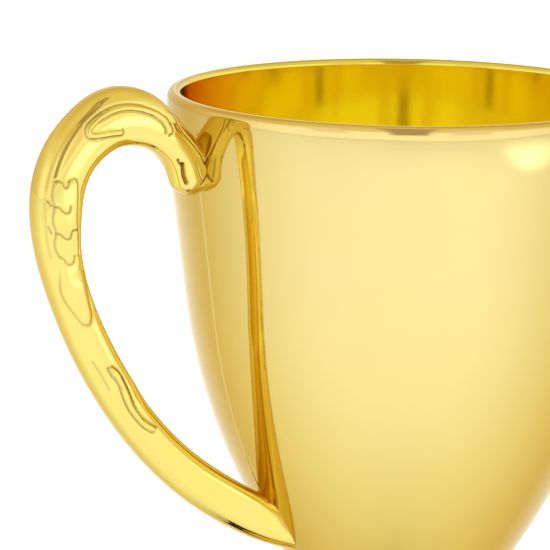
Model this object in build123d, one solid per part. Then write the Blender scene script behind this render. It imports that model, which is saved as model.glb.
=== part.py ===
from build123d import *
import math
import os

# Two-handled cup trophy on a plinth.
# Millimetres, +Z up, origin at the centre of the face that it stands on.
# The handles lie on -X and +X, and the blank plate faces -Y.

# ---- driving dimensions -------------------------------------------------
TOP_Z = 232.0            # rim height
WALL = 2.6               # bowl wall
RIM_WALL = 3.4           # wall of the thickened band under the rim
RIM_OUT = (52.60, 230.4)  # where the outside wall turns into the lip: (radius, height)
RIM_IN = (49.4, 230.7)   # where the lip turns into the inside wall
BOWL_BASE_Z = 104.0      # underside of the bowl
BOWL_FLOOR_Z = 108.5     # inside floor of the bowl
BOWL_BASE_R = 12.4       # radius of the bowl's underside

# outside of the bowl below the lip, which curls in over its last 7 mm: (radius, height)
BOWL_OUT = [
    RIM_OUT, (52.74, 228.4), (52.78, 225.0), (52.66, 221.0), (52.27, 216.5),
    (51.74, 212.0), (51.02, 206.5), (49.92, 198.5), (48.68, 189.0),
    (46.74, 177.0), (43.76, 165.0), (39.52, 153.0), (33.82, 141.0),
    (27.40, 130.0), (21.00, 120.0), (15.95, 111.5), (13.30, 106.4),
    (BOWL_BASE_R, BOWL_BASE_Z),
]

# handle: centre line in the XZ plane with its width in that plane and its
# thickness across it: (x, z, width, thickness), from the knob to the lower end
HANDLE = [
    (-54.24, 216.70, 9.2, 8.0),
    (-56.33, 221.51, 8.9, 8.4),
    (-60.78, 226.31, 9.0, 9.0),
    (-66.57, 230.07, 11.4, 9.6),
    (-73.01, 230.99, 12.5, 10.0),
    (-79.15, 228.03, 11.8, 10.1),
    (-83.63, 223.32, 11.2, 10.1),
    (-86.18, 217.20, 10.9, 10.0),
    (-86.80, 210.60, 10.3, 9.9),
    (-86.11, 203.00, 9.1, 9.5),
    (-83.35, 193.22, 8.3, 9.0),
    (-79.32, 183.84, 8.3, 8.8),
    (-74.21, 174.59, 8.4, 8.8),
    (-67.58, 165.01, 8.5, 8.8),
    (-59.86, 156.24, 8.8, 8.8),
    (-51.25, 148.84, 9.2, 8.8),
    (-42.21, 142.88, 9.5, 8.8),
    (-33.55, 138.30, 9.3, 8.8),
    (-26.12, 135.37, 8.7, 8.6),
]
# rounded knob at the upper end: centre (x, z), half sizes, and its lean
KNOB_XZ = (-54.7, 219.0)
KNOB_HALF = (5.7, 4.3, 6.4)
KNOB_LEAN = 33.8
HANDLE_EDGE = 0.36       # corner radius as a share of the smaller side

PEG_Z = 217.6            # height of the locating peg at the upper end of a handle
PEG_R = 1.9              # peg radius
PEG_L = 1.9              # peg length into the wall
PEG_GAP = 0.1            # glue gap round and ahead of the peg in its blind hole
LOWER_SCREW_Z = 143.0    # height where the lower screw leaves the bowl
SCREW_R = 1.45           # self-tapping screw shank
SCREW_HOLE_R = 1.6       # clearance hole in the bowl
SCREW_HEAD_R = 2.75
SCREW_HEAD_H = 1.9
SEAT_R = 3.7             # flat seat on the inside of the bowl
SEAT_DEPTH = 0.4
WASHER_R = 3.3
WASHER_T = 0.6
LOWER_GRIP = 5.2         # length of screw held by the lower end

ROD_R = 3.0              # M6 rod
ROD_HOLE_R = 3.3
ROD_Z = (5.2, 116.0)
HEX_AF = 10.0            # M6 nut across flats

COLLAR_Z = (96.0, BOWL_BASE_Z)
UPPER_RING_Z = (92.0, 96.0)
KNOP_Z = (66.0, 92.0)
LOWER_RING_Z = (61.0, 66.0)
FOOT_Z = (32.0, 61.0)
FOOT_R = 31.0
TRIM_Z = (30.0, 32.0)
TRIM_R = 34.5
PLINTH_Z = (1.5, 30.0)
PLINTH_W = 84.0          # lower tier, square
PLINTH_TOP_W = 75.0      # upper tier, square
PLINTH_STEP_Z = 23.0
PLINTH_WALL = 2.6
PLINTH_ROOF = 3.0
BOSS_XY = 31.0           # cover screw bosses
BOSS_R = 4.0
PAD_T = 1.5
COVER_T = 2.0
WEIGHT_R = 27.0
WEIGHT_H = 14.0
PLATE_W, PLATE_H, PLATE_T = 50.0, 14.0, 0.8
TAPE_T = 0.25
PLATE_Z = 12.0           # centre height of the plate

os.makedirs("parts", exist_ok=True)


# ---- helpers --------------------------------------------------------------
def spin(edges):
    """Revolves a closed chain of edges in the XZ plane about Z, with its seam at the back."""
    return Rot(0, 0, 90) * revolve(Face(Wire(edges)), Axis.Z, 360)


def pt(r, z):
    return Vector(r, 0, z)


def line(a, b):
    return Edge.make_line(pt(*a), pt(*b))


def arc(a, m, b):
    return Edge.make_three_point_arc(pt(*a), pt(*m), pt(*b))


def poly(points):
    """Closed chain of straight edges through (r, z) points."""
    return [line(points[i], points[(i + 1) % len(points)]) for i in range(len(points))]


def curve(points, tangents=None):
    if tangents:
        return Edge.make_spline([pt(*p) for p in points], tangents=[pt(*t) for t in tangents])
    return Edge.make_spline([pt(*p) for p in points])


def wall_t(z):
    """Thickness of the bowl wall at a height: an even wall that thickens under the rim."""
    t = min(max((z - 200.0) / 25.0, 0.0), 1.0)
    return WALL + (RIM_WALL - WALL) * t * t * (3 - 2 * t)


def offset_points(edge, distance, count, first=0.0, last=1.0):
    """Points on the axis side of an XZ edge that runs downwards, at a distance that may depend on height."""
    out = []
    for i in range(count):
        t = first + (last - first) * i / (count - 1)
        p = edge @ t
        d = edge % t
        n = Vector(d.Z, 0, -d.X)
        if n.X > 0:
            n = n * -1
        away = distance(p.Z) if callable(distance) else distance
        out.append((p.X + n.X * away, p.Z + n.Z * away))
    return out


def ring(r_out, r_in, z0, z1):
    return Solid.make_cylinder(r_out, z1 - z0, Plane((0, 0, z0))) - Solid.make_cylinder(
        r_in, z1 - z0, Plane((0, 0, z0))
    )


def write(name, shape):
    solids = list(shape.solids()) if hasattr(shape, "solids") else [shape]
    body = solids[0] if len(solids) == 1 else Compound(children=solids)
    body.label = name
    export_step(body, f"parts/{name}.step")
    return body


def opposite(shape):
    """The same shape half a turn round the axis; the handles are alike front and back."""
    return shape.rotate(Axis.Z, 180)


# ---- bowl -------------------------------------------------------------------
out_edge = curve(BOWL_OUT, [(0.10, -1), (-0.25, -1)])
inner = [p for p in offset_points(out_edge, wall_t, 24) if p[1] > BOWL_FLOOR_Z + 2.0]
inner[0] = RIM_IN
in_edge = curve(inner, [(0, -1), (inner[-1][0] - inner[-2][0], inner[-1][1] - inner[-2][1])])
floor_r = inner[-1][0] - 2.2
floor_arc = Edge.make_tangent_arc(pt(*inner[-1]), in_edge % 1.0, pt(floor_r, BOWL_FLOOR_Z))
bowl_edges = [
    out_edge,
    line((BOWL_BASE_R, BOWL_BASE_Z), (ROD_HOLE_R, BOWL_BASE_Z)),
    line((ROD_HOLE_R, BOWL_BASE_Z), (ROD_HOLE_R, BOWL_FLOOR_Z)),
    line((ROD_HOLE_R, BOWL_FLOOR_Z), (floor_r, BOWL_FLOOR_Z)),
    floor_arc,
    in_edge,
    curve([RIM_IN, (49.62, 231.45), (50.15, 231.88), (50.85, TOP_Z), (51.62, 231.86), (52.25, 231.35), RIM_OUT],
          [(0, 1), (0.10, -1)]),
]
bowl = spin(bowl_edges)
# the full outside form, used to shape the handle ends
bowl_form = spin([
    out_edge,
    line((BOWL_BASE_R, BOWL_BASE_Z), (0, BOWL_BASE_Z)),
    line((0, BOWL_BASE_Z), (0, RIM_OUT[1])),
    line((0, RIM_OUT[1]), RIM_OUT),
])


def wall_at(z):
    """Outside point and outward normal of the bowl at a height, in the XZ plane on +X."""
    lo, hi = 0.0, 1.0
    for _ in range(50):
        mid = (lo + hi) / 2
        if (out_edge @ mid).Z > z:
            lo = mid
        else:
            hi = mid
    p = out_edge @ lo
    d = out_edge % lo
    n = Vector(-d.Z, 0, d.X)
    if n.X < 0:
        n = n * -1
    return p, n.normalized()


# ---- handle fixings on -X --------------------------------------------------
def fixing(z, out=None):
    """Outside point, direction and inside seat plane of a fixing that meets the wall at height z."""
    p, n = wall_at(z)
    if out is not None:
        n = out
    p, n = Vector(-p.X, 0, p.Z), Vector(-n.X, 0, n.Z)
    seat = p - n * (wall_t(z) - SEAT_DEPTH)
    return p, n, Plane(origin=seat, z_dir=n, x_dir=Vector(0, 1, 0))


LOW = fixing(LOWER_SCREW_Z)[2]
peg_p, peg_n, _ = fixing(PEG_Z, Vector(1, 0, 0))
PEG = Plane(origin=peg_p, z_dir=peg_n, x_dir=Vector(0, 1, 0))


def cyl(plane, r, a, b):
    """Cylinder on a plane's normal, from distance a to b."""
    o = plane.origin + plane.z_dir * a
    return Solid.make_cylinder(r, b - a, Plane(origin=o, z_dir=plane.z_dir, x_dir=plane.x_dir))


def screw(plane, z, grip):
    """Pan-head self-tapping screw: its head is inside the bowl, its point outside."""
    reach = (wall_t(z) - SEAT_DEPTH) + grip
    shank = cyl(plane, SCREW_R, -WASHER_T, reach - 1.4)
    o = plane.origin + plane.z_dir * (reach - 1.4)
    tip = Solid.make_cone(SCREW_R, 0.35, 1.4, Plane(origin=o, z_dir=plane.z_dir, x_dir=plane.x_dir))
    head = cyl(plane, SCREW_HEAD_R, -WASHER_T - SCREW_HEAD_H, -WASHER_T)
    top_edges = head.edges().filter_by(GeomType.CIRCLE).sort_by(
        lambda e: (e.center() - plane.origin).dot(plane.z_dir)
    )
    head = head.fillet(0.9, [top_edges[0]])
    ho = plane.origin - plane.z_dir * (WASHER_T + SCREW_HEAD_H)
    hp = Plane(origin=ho, z_dir=plane.z_dir, x_dir=plane.x_dir)
    slot_a = Location(hp) * Box(2.9, 0.65, 2.2, align=(Align.CENTER, Align.CENTER, Align.CENTER))
    slot_b = Location(hp) * Box(0.65, 2.9, 2.2, align=(Align.CENTER, Align.CENTER, Align.CENTER))
    return (head + shank + tip) - slot_a - slot_b


def mirrored(pl):
    return Plane(
        origin=Vector(-pl.origin.X, 0, pl.origin.Z),
        z_dir=Vector(-pl.z_dir.X, 0, pl.z_dir.Z),
        x_dir=Vector(0, 1, 0),
    )


for low, peg in ((LOW, PEG), (mirrored(LOW), mirrored(PEG))):
    bowl = bowl - cyl(low, SCREW_HOLE_R, -1.0, RIM_WALL + 2) - cyl(low, SEAT_R, -3.0, 0)
    # blind hole for the peg: the inside of the rim stays whole
    bowl = bowl - cyl(peg, PEG_R + PEG_GAP, -PEG_L - PEG_GAP, 2.0)
write("bowl", bowl)

left_screw = screw(LOW, LOWER_SCREW_Z, LOWER_GRIP)
write("handle_screws", Compound(children=[
    left_screw.solids()[0], opposite(left_screw).solids()[0]
]))


def flat_washer(plane):
    return cyl(plane, WASHER_R, -WASHER_T, 0) - cyl(plane, SCREW_HOLE_R, -WASHER_T, 0)


left_washer = flat_washer(LOW)
write("handle_washers", Compound(children=[
    left_washer.solids()[0], opposite(left_washer).solids()[0]
]))

# ---- handles ------------------------------------------------------------------
sections = []
for i, (x, z, w, t) in enumerate(HANDLE):
    a = Vector(*([HANDLE[max(i - 1, 0)][0], 0, HANDLE[max(i - 1, 0)][1]]))
    b = Vector(*([HANDLE[min(i + 1, len(HANDLE) - 1)][0], 0, HANDLE[min(i + 1, len(HANDLE) - 1)][1]]))
    d = (b - a).normalized()
    plane = Plane(origin=Vector(x, 0, z), z_dir=d, x_dir=Vector(0, 1, 0).cross(d))
    sections.append(plane * RectangleRounded(w, t, HANDLE_EDGE * min(w, t)))
handle = loft(sections)
knob_form = Pos(KNOB_XZ[0], 0, KNOB_XZ[1]) * Rot(0, -KNOB_LEAN, 0) * scale(Sphere(1), by=KNOB_HALF)
handle = handle + knob_form
handle = handle - bowl_form
reach = (wall_t(LOWER_SCREW_Z) - SEAT_DEPTH) + LOWER_GRIP
tip_plane = Plane(origin=LOW.origin + LOW.z_dir * (reach - 1.4), z_dir=LOW.z_dir, x_dir=LOW.x_dir)
handle = handle - cyl(LOW, SCREW_R, 0, reach - 1.4)
handle = handle - Solid.make_cone(SCREW_R, 0.35, 1.4, tip_plane)
handle = handle + cyl(PEG, PEG_R, -PEG_L, 2.5)
handle = max(handle.solids(), key=lambda s: s.volume)
write("handle_left", handle)
write("handle_right", opposite(handle))

# ---- stem -------------------------------------------------------------------
rod = Solid.make_cylinder(ROD_R, ROD_Z[1] - ROD_Z[0], Plane((0, 0, ROD_Z[0])))
rod = rod.chamfer(0.5, None, rod.edges().filter_by(GeomType.CIRCLE))
write("centre_rod", rod)

washer_top = BOWL_FLOOR_Z + 1.2
write("bowl_washer", ring(9.0, ROD_HOLE_R, BOWL_FLOOR_Z, washer_top))

hexagon = RegularPolygon(HEX_AF / 2, 6, major_radius=False)
nut_top = washer_top + 5.2
dome = extrude(Plane((0, 0, washer_top)) * hexagon, 5.2)
# corners of the hexagon turned down towards the dome
dome = dome & (Location((0, 0, washer_top)) * Cone(8.2, 5.0, 6.1, align=(Align.CENTER, Align.CENTER, Align.MIN)))
dome = dome + (
    (Location((0, 0, nut_top - 0.4)) * Sphere(4.7))
    & (Location((0, 0, nut_top - 0.2)) * Cylinder(6, 6, align=(Align.CENTER, Align.CENTER, Align.MIN)))
)
dome = dome - Solid.make_cylinder(ROD_R, 116.9 - washer_top, Plane((0, 0, washer_top)))
write("dome_nut", dome)

c0, c1 = COLLAR_Z
write("bowl_collar", spin([
    line((ROD_HOLE_R, c0), (8.2, c0)),
    curve([(8.2, c0), (8.9, c0 + 2.4), (11.2, c0 + 5.2), (14.6, c0 + 7.2)], [(0.1, 1), (1, 0.35)]),
    line((14.6, c0 + 7.2), (14.6, c1)),
    line((14.6, c1), (ROD_HOLE_R, c1)),
    line((ROD_HOLE_R, c1), (ROD_HOLE_R, c0)),
]))


def bead(z0, z1, r_flat, r_out):
    zm = (z0 + z1) / 2
    return spin([
        line((ROD_HOLE_R, z0), (r_flat, z0)),
        arc((r_flat, z0), (r_out, zm), (r_flat, z1)),
        line((r_flat, z1), (ROD_HOLE_R, z1)),
        line((ROD_HOLE_R, z1), (ROD_HOLE_R, z0)),
    ])


write("upper_ring", bead(*UPPER_RING_Z, 9.4, 11.4))
write("lower_ring", bead(*LOWER_RING_Z, 10.2, 12.7))

k0, k1 = KNOP_Z
knop_out = curve(
    [(7.6, k1), (8.0, k1 - 3.0), (12.2, k1 - 7.0), (15.4, k1 - 12.0), (14.4, k1 - 17.0), (10.4, k1 - 22.0), (8.2, k0)],
    [(0, -1), (-0.12, -1)],
)
knop_in = [p for p in offset_points(knop_out, 2.2, 12) if k0 + 2.4 < p[1] < k1 - 2.4]
knop_in_edge = curve(knop_in)
write("stem_knop", spin([
    knop_out,
    line((8.2, k0), (ROD_HOLE_R, k0)),
    line((ROD_HOLE_R, k0), (ROD_HOLE_R, knop_in[-1][1])),
    line((ROD_HOLE_R, knop_in[-1][1]), knop_in[-1]),
    knop_in_edge,
    line(knop_in[0], (ROD_HOLE_R, knop_in[0][1])),
    line((ROD_HOLE_R, knop_in[0][1]), (ROD_HOLE_R, k1)),
    line((ROD_HOLE_R, k1), (7.6, k1)),
]))

f0, f1 = FOOT_Z
foot_out = curve(
    [(9.2, f1), (9.6, f1 - 5.0), (11.8, f1 - 11.5), (17.2, f1 - 17.5), (24.4, f1 - 21.8), (29.6, f1 - 24.6), (FOOT_R, f1 - 26.6)],
    [(0, -1), (0.25, -1)],
)
foot_in = [p for p in offset_points(foot_out, 2.3, 10) if p[1] < f1 - 3.0]
foot_in_edge = curve(foot_in)
write("pedestal_foot", spin([
    foot_out,
    line((FOOT_R, f1 - 26.6), (FOOT_R, f0)),
    line((FOOT_R, f0), (foot_in[-1][0], f0)),
    line((foot_in[-1][0], f0), foot_in[-1]),
    foot_in_edge,
    line(foot_in[0], (ROD_HOLE_R, foot_in[0][1])),
    line((ROD_HOLE_R, foot_in[0][1]), (ROD_HOLE_R, f1)),
    line((ROD_HOLE_R, f1), (9.2, f1)),
]))

t0, t1 = TRIM_Z
write("base_trim", spin([
    line((ROD_HOLE_R, t0), (TRIM_R - 0.5, t0)),
    arc((TRIM_R - 0.5, t0), (TRIM_R, (t0 + t1) / 2), (TRIM_R - 0.5, t1)),
    line((TRIM_R - 0.5, t1), (ROD_HOLE_R, t1)),
    line((ROD_HOLE_R, t1), (ROD_HOLE_R, t0)),
]))

# ---- plinth -------------------------------------------------------------------
p0, p1 = PLINTH_Z
with BuildPart() as plinth:
    with BuildSketch(Plane((0, 0, p0))):
        RectangleRounded(PLINTH_W, PLINTH_W, 6.0)
    extrude(amount=PLINTH_STEP_Z - p0)
    lower_edges = plinth.faces().sort_by(Axis.Z)[-1].edges()
    fillet(lower_edges, 1.6)
    with BuildSketch(Plane((0, 0, PLINTH_STEP_Z - 0.5))):
        RectangleRounded(PLINTH_TOP_W, PLINTH_TOP_W, 5.0)
    extrude(amount=p1 - PLINTH_STEP_Z + 0.5)
    chamfer(plinth.faces().sort_by(Axis.Z)[-1].edges(), 1.2)
    with BuildSketch(Plane((0, 0, p0))):
        RectangleRounded(PLINTH_W - 2 * PLINTH_WALL, PLINTH_W - 2 * PLINTH_WALL, 3.6)
    extrude(amount=PLINTH_STEP_Z - 2.8 - p0, mode=Mode.SUBTRACT)
    with BuildSketch(Plane((0, 0, p0))):
        RectangleRounded(PLINTH_TOP_W - 2 * PLINTH_WALL, PLINTH_TOP_W - 2 * PLINTH_WALL, 2.6)
    extrude(amount=p1 - PLINTH_ROOF - p0, mode=Mode.SUBTRACT)
    # cover screw bosses hang from the roof
    with BuildSketch(Plane((0, 0, p0 + COVER_T))):
        with Locations(*[(sx * BOSS_XY, sy * BOSS_XY) for sx in (-1, 1) for sy in (-1, 1)]):
            Circle(BOSS_R)
    extrude(amount=p1 - PLINTH_ROOF - p0 - COVER_T)
    with BuildSketch(Plane((0, 0, p0 + COVER_T))):
        with Locations(*[(sx * BOSS_XY, sy * BOSS_XY) for sx in (-1, 1) for sy in (-1, 1)]):
            Circle(1.45)
    extrude(amount=8.0, mode=Mode.SUBTRACT)
    with BuildSketch(Plane((0, 0, p0))):
        Circle(ROD_HOLE_R)
    extrude(amount=p1 - p0, mode=Mode.SUBTRACT)
write("base_plinth", plinth.part)

roof_z = p1 - PLINTH_ROOF
weight = ring(WEIGHT_R, ROD_HOLE_R, roof_z - WEIGHT_H, roof_z)
weight = chamfer([e for e in weight.edges().filter_by(GeomType.CIRCLE) if abs(e.radius - WEIGHT_R) < 0.01], 1.0)
write("base_weight", weight)
weight_z = roof_z - WEIGHT_H
write("rod_washer", ring(9.0, ROD_HOLE_R, weight_z - 1.6, weight_z))
nut = extrude(Plane((0, 0, weight_z - 6.6)) * hexagon, 5.0) - Solid.make_cylinder(
    ROD_R, 5.0, Plane((0, 0, weight_z - 6.6))
)
write("rod_nut", nut)

with BuildPart() as cover:
    with BuildSketch(Plane((0, 0, p0))):
        RectangleRounded(PLINTH_W - 2 * PLINTH_WALL - 0.3, PLINTH_W - 2 * PLINTH_WALL - 0.3, 3.4)
    extrude(amount=COVER_T)
    for sx in (-1, 1):
        for sy in (-1, 1):
            with Locations((sx * BOSS_XY, sy * BOSS_XY, p0)):
                Cone(2.8, 1.45, 1.5, align=(Align.CENTER, Align.CENTER, Align.MIN), mode=Mode.SUBTRACT)
                Cylinder(1.45, COVER_T, align=(Align.CENTER, Align.CENTER, Align.MIN), mode=Mode.SUBTRACT)
write("base_cover", cover.part)

cover_screws = []
for sx in (-1, 1):
    for sy in (-1, 1):
        s = Cone(2.8, 1.45, 1.5, align=(Align.CENTER, Align.CENTER, Align.MIN))
        s = s + Cylinder(1.45, 8.0, align=(Align.CENTER, Align.CENTER, Align.MIN))
        s = s + Location((0, 0, 8.0)) * Cone(1.45, 0.3, 1.4, align=(Align.CENTER, Align.CENTER, Align.MIN))
        s = s - Box(2.8, 0.6, 1.4) - Box(0.6, 2.8, 1.4)
        cover_screws.append((Location((sx * BOSS_XY, sy * BOSS_XY, p0)) * s).solids()[0])
write("cover_screws", Compound(children=cover_screws))

with BuildPart() as pad:
    with BuildSketch(Plane.XY):
        RectangleRounded(PLINTH_W - 3.0, PLINTH_W - 3.0, 5.0)
    extrude(amount=PAD_T)
write("base_pad", pad.part)

face_y = -PLINTH_W / 2
with BuildPart() as tape:
    with BuildSketch(Plane(origin=(0, face_y, PLATE_Z), x_dir=(1, 0, 0), z_dir=(0, -1, 0))):
        RectangleRounded(PLATE_W - 3, PLATE_H - 3, 1.0)
    extrude(amount=TAPE_T)
write("plate_tape", tape.part)
with BuildPart() as plate:
    with BuildSketch(Plane(origin=(0, face_y - TAPE_T, PLATE_Z), x_dir=(1, 0, 0), z_dir=(0, -1, 0))):
        RectangleRounded(PLATE_W, PLATE_H, 1.6)
    extrude(amount=PLATE_T)
    chamfer(plate.faces().sort_by(Axis.Y)[0].edges(), 0.25)
write("name_plate", plate.part)
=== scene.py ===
import math
import bpy
import numpy as np
from mathutils import Matrix, Vector


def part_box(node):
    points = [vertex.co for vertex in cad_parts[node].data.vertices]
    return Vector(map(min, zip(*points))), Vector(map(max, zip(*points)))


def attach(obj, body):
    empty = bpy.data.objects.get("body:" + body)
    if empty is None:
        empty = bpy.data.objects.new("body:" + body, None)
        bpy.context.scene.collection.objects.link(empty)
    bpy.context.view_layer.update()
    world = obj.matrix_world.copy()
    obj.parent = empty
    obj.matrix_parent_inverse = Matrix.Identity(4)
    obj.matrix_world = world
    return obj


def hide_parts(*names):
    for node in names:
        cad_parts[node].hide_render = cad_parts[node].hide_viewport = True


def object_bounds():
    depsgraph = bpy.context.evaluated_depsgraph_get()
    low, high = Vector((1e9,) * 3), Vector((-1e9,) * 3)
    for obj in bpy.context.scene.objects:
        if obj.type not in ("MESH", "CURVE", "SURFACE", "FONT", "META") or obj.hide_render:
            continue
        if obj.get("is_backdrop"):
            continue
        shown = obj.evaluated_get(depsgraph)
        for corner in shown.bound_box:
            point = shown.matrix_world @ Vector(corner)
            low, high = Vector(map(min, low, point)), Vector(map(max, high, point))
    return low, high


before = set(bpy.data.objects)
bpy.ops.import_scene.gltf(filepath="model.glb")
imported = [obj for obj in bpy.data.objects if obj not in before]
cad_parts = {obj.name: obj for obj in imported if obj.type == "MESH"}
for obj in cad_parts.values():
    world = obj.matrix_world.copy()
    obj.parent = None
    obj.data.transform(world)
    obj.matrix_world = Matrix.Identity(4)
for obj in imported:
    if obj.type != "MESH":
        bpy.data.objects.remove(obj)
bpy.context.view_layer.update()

scene = bpy.context.scene
MM = 0.001


# ----------------------------------------------------------------- curves
def natural_spline(xs, ys, slope0=None, slope1=None):
    """Cubic spline through (xs, ys); an end slope is clamped if given, natural otherwise."""
    xs = np.asarray(xs, float)
    ys = np.asarray(ys, float)
    if ys.ndim == 1:
        ys = ys[:, None]
    n = len(xs)
    h = np.diff(xs)
    a = np.zeros((n, n))
    b = np.zeros((n, ys.shape[1]))
    for i in range(1, n - 1):
        a[i, i - 1], a[i, i], a[i, i + 1] = h[i - 1], 2 * (h[i - 1] + h[i]), h[i]
        b[i] = 6 * ((ys[i + 1] - ys[i]) / h[i] - (ys[i] - ys[i - 1]) / h[i - 1])
    if slope0 is None:
        a[0, 0] = 1
    else:
        a[0, 0], a[0, 1] = 2 * h[0], h[0]
        b[0] = 6 * ((ys[1] - ys[0]) / h[0] - slope0)
    if slope1 is None:
        a[-1, -1] = 1
    else:
        a[-1, -1], a[-1, -2] = 2 * h[-1], h[-1]
        b[-1] = 6 * (slope1 - (ys[-1] - ys[-2]) / h[-1])
    m = np.linalg.solve(a, b)

    def at(t, d=0):
        t = np.atleast_1d(np.asarray(t, float))
        k = np.clip(np.searchsorted(xs, t) - 1, 0, n - 2)
        x0, x1, hk = xs[k], xs[k + 1], h[k]
        p, q = ((x1 - t) / hk)[:, None], ((t - x0) / hk)[:, None]
        hk = hk[:, None]
        if d == 0:
            v = p * ys[k] + q * ys[k + 1] + ((p**3 - p) * m[k] + (q**3 - q) * m[k + 1]) * hk**2 / 6
        else:
            v = (ys[k + 1] - ys[k]) / hk + (-(3 * p**2 - 1) * m[k] + (3 * q**2 - 1) * m[k + 1]) * hk / 6
        return v if v.shape[1] > 1 else v[:, 0]

    return at


def smoothstep(x, a, b):
    t = np.clip((x - a) / (b - a), 0, 1)
    return t * t * (3 - 2 * t)


def rounded(points, radii, steps=6):
    """Polyline (r, z) whose corner i is rounded by radii[i]; ends stay sharp."""
    out = [points[0]]
    for i in range(1, len(points) - 1):
        p0, p1, p2 = (np.array(points[k], float) for k in (i - 1, i, i + 1))
        rad = radii[i]
        if rad <= 0:
            out.append(tuple(p1))
            continue
        u, v = p0 - p1, p2 - p1
        lu, lv = np.linalg.norm(u), np.linalg.norm(v)
        u, v = u / lu, v / lv
        half = math.acos(max(-1, min(1, float(u @ v)))) / 2
        if half > math.pi / 2 - 1e-3:
            out.append(tuple(p1))
            continue
        cut = min(rad / math.tan(half), lu * 0.49, lv * 0.49)
        for k in range(steps + 1):
            t = k / steps
            q = (1 - t) ** 2 * (p1 + u * cut) + 2 * t * (1 - t) * p1 + t * t * (p1 + v * cut)
            out.append((float(q[0]), float(q[1])))
    out.append(points[-1])
    return out


# ----------------------------------------------------------------- meshes
def add_mesh(name, verts, quads, material, sharp=35.0, fans=()):
    """Mesh object from arrays in millimetres; fans are extra polygons."""
    verts = np.asarray(verts, float) * MM
    faces = [tuple(int(i) for i in q) for q in quads] + [tuple(int(i) for i in f) for f in fans]
    me = bpy.data.meshes.new(name)
    me.from_pydata(verts.tolist(), [], faces)
    me.validate()
    me.polygons.foreach_set("use_smooth", [True] * len(me.polygons))
    me.update()
    if sharp:
        me.set_sharp_from_angle(angle=math.radians(sharp))
    ob = bpy.data.objects.new(name, me)
    scene.collection.objects.link(ob)
    for m in material if isinstance(material, (list, tuple)) else [material]:
        me.materials.append(m)
    return ob


def lathe(name, profile, material, segments=240, sharp=35.0, angles=None, shape=None):
    """Revolves a closed (r, z) profile about Z. shape(xyz, ring index) may move points."""
    prof = np.asarray(profile, float)
    if angles is None:
        angles = np.linspace(0, 2 * np.pi, segments, endpoint=False)
    n, m = len(prof), len(angles)
    co = np.zeros((n, m, 3))
    co[..., 0] = prof[:, 0, None] * np.cos(angles)[None]
    co[..., 1] = prof[:, 0, None] * np.sin(angles)[None]
    co[..., 2] = prof[:, 1, None]
    if shape is not None:
        co = shape(co, angles)
    idx = np.arange(n * m).reshape(n, m)
    a, b = idx, np.roll(idx, -1, 0)
    q = np.stack([a, np.roll(a, -1, 1), np.roll(b, -1, 1), b], -1).reshape(-1, 4)
    return add_mesh(name, co.reshape(-1, 3), q, material, sharp)


# ----------------------------------------------------------------- materials
def node_material(name):
    mat = bpy.data.materials.new(name)
    mat.use_nodes = True
    nt = mat.node_tree
    bsdf = nt.nodes["Principled BSDF"]
    return mat, nt, bsdf


def new(nt, kind, **props):
    n = nt.nodes.new(kind)
    for k, v in props.items():
        if k in n.inputs:
            n.inputs[k].default_value = v
        else:
            setattr(n, k, v)
    return n


def noise(nt, scale, detail=3.0, rough=0.5, coords=None):
    n = nt.nodes.new("ShaderNodeTexNoise")
    n.inputs["Scale"].default_value = scale
    n.inputs["Detail"].default_value = detail
    n.inputs["Roughness"].default_value = rough
    if coords is not None:
        nt.links.new(coords, n.inputs["Vector"])
    return n


def mapped(nt, value, lo, hi, from_lo=0.0, from_hi=1.0):
    m = nt.nodes.new("ShaderNodeMapRange")
    m.inputs["From Min"].default_value = from_lo
    m.inputs["From Max"].default_value = from_hi
    m.inputs["To Min"].default_value = lo
    m.inputs["To Max"].default_value = hi
    nt.links.new(value, m.inputs["Value"])
    return m.outputs["Result"]


def mix_colour(nt, fac, a, b):
    m = nt.nodes.new("ShaderNodeMix")
    m.data_type = "RGBA"
    m.inputs[6].default_value = (*a, 1)
    m.inputs[7].default_value = (*b, 1)
    nt.links.new(fac, m.inputs[0])
    return m.outputs[2]


def object_coords(nt, scale=(1, 1, 1)):
    tc = nt.nodes.new("ShaderNodeTexCoord")
    mp = nt.nodes.new("ShaderNodeMapping")
    mp.inputs["Scale"].default_value = scale
    nt.links.new(tc.outputs["Object"], mp.inputs["Vector"])
    return mp.outputs["Vector"]


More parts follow.
